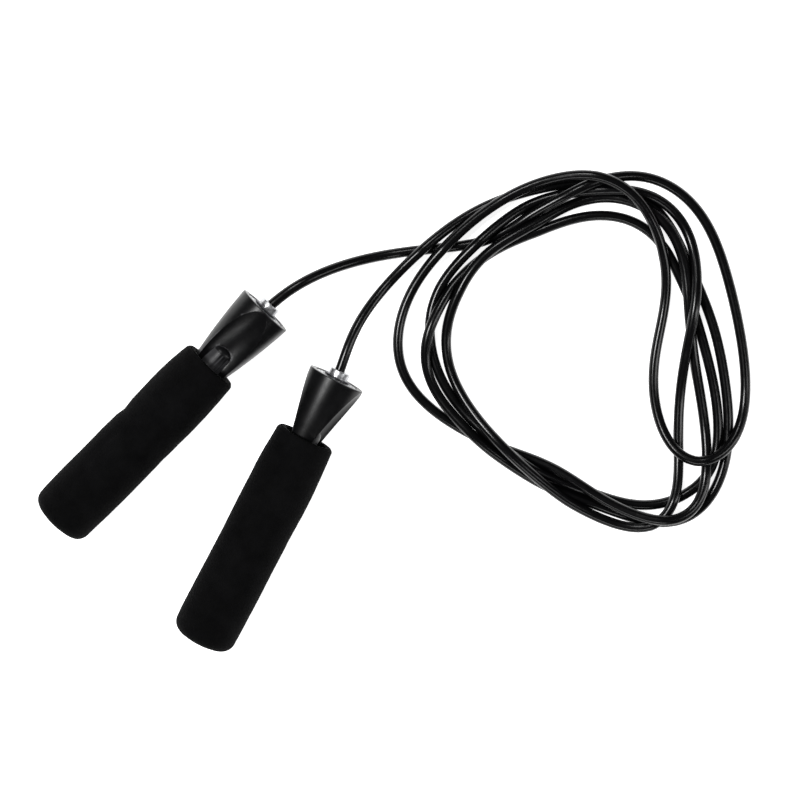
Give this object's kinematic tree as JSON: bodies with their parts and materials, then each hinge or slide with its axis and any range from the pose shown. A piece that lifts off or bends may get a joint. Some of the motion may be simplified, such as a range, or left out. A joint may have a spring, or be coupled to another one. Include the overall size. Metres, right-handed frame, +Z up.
{
  "type": "jump rope",
  "caption": "Speed skipping rope lying loosely looped, with foam-covered bearing handles that spin round the ends of a round PVC rope.",
  "frame": {"origin": "on the floor, at the middle of the box round the two handles, without the rope", "axes": "+Z up from the floor the rope lies on; +Y the longer side of the box round the handles, towards which both mouths point; +X towards the looped rope"},
  "size_m": [0.3891, 0.2624, 0.036],
  "materials": {
    "foam": "matte closed-cell foam",
    "abs_plastic": "satin black moulding",
    "cap_plastic": "matte black moulding",
    "bearing_steel": "ground steel",
    "chrome": "bright plated",
    "cage_nylon": "natural nylon",
    "dark_steel": "blackened",
    "ferrule_brass": "plain",
    "pvc_rope": "glossy solid PVC"
  },
  "bodies": {
    "rope": {"rope_coil": "pvc_rope", "rope_lead_left": "pvc_rope", "rope_lead_right": "pvc_rope", "left_bearing_inner_race": "bearing_steel", "left_rope_sleeve": "chrome", "left_spacer": "dark_steel", "left_retaining_ring": "dark_steel", "left_rope_ferrule": "ferrule_brass", "right_bearing_inner_race": "bearing_steel", "right_rope_sleeve": "chrome", "right_spacer": "dark_steel", "right_retaining_ring": "dark_steel", "right_rope_ferrule": "ferrule_brass"},
    "left_handle": {"left_handle_body": "abs_plastic", "left_foam_grip": "foam", "left_end_cap": "cap_plastic", "left_bearing_outer_race": "bearing_steel", "left_rear_shield": "bearing_steel", "left_front_shield": "bearing_steel"},
    "left_cage": {"left_bearing_cage": "cage_nylon", "left_bearing_ball_1": "bearing_steel", "left_bearing_ball_2": "bearing_steel", "left_bearing_ball_3": "bearing_steel", "left_bearing_ball_4": "bearing_steel", "left_bearing_ball_5": "bearing_steel", "left_bearing_ball_6": "bearing_steel", "left_bearing_ball_7": "bearing_steel", "left_bearing_ball_8": "bearing_steel"},
    "right_handle": {"right_handle_body": "abs_plastic", "right_foam_grip": "foam", "right_end_cap": "cap_plastic", "right_bearing_outer_race": "bearing_steel", "right_rear_shield": "bearing_steel", "right_front_shield": "bearing_steel"},
    "right_cage": {"right_bearing_cage": "cage_nylon", "right_bearing_ball_1": "bearing_steel", "right_bearing_ball_2": "bearing_steel", "right_bearing_ball_3": "bearing_steel", "right_bearing_ball_4": "bearing_steel", "right_bearing_ball_5": "bearing_steel", "right_bearing_ball_6": "bearing_steel", "right_bearing_ball_7": "bearing_steel", "right_bearing_ball_8": "bearing_steel"}
  },
  "joints": [
    {"name": "left_handle_spin", "type": "hinge", "parent": "rope", "child": "left_handle", "pos_m": [-0.07877, -0.02754, 0.018], "axis": [0.705, 0.7092, 0], "continuous": true},
    {"name": "left_cage_spin", "type": "hinge", "parent": "rope", "child": "left_cage", "pos_m": [-0.07877, -0.02754, 0.018], "axis": [0.705, 0.7092, 0], "continuous": true},
    {"name": "right_handle_spin", "type": "hinge", "parent": "rope", "child": "right_handle", "pos_m": [-0.00077, -0.0935, 0.018], "axis": [0.4621, 0.8868, 0], "continuous": true},
    {"name": "right_cage_spin", "type": "hinge", "parent": "rope", "child": "right_cage", "pos_m": [-0.00077, -0.0935, 0.018], "axis": [0.4621, 0.8868, 0], "continuous": true}
  ],
  "couplings": [
    {"joint": "left_cage_spin", "follows": "left_handle_spin", "ratio": 0.5889},
    {"joint": "right_cage_spin", "follows": "right_handle_spin", "ratio": 0.5889}
  ]
}
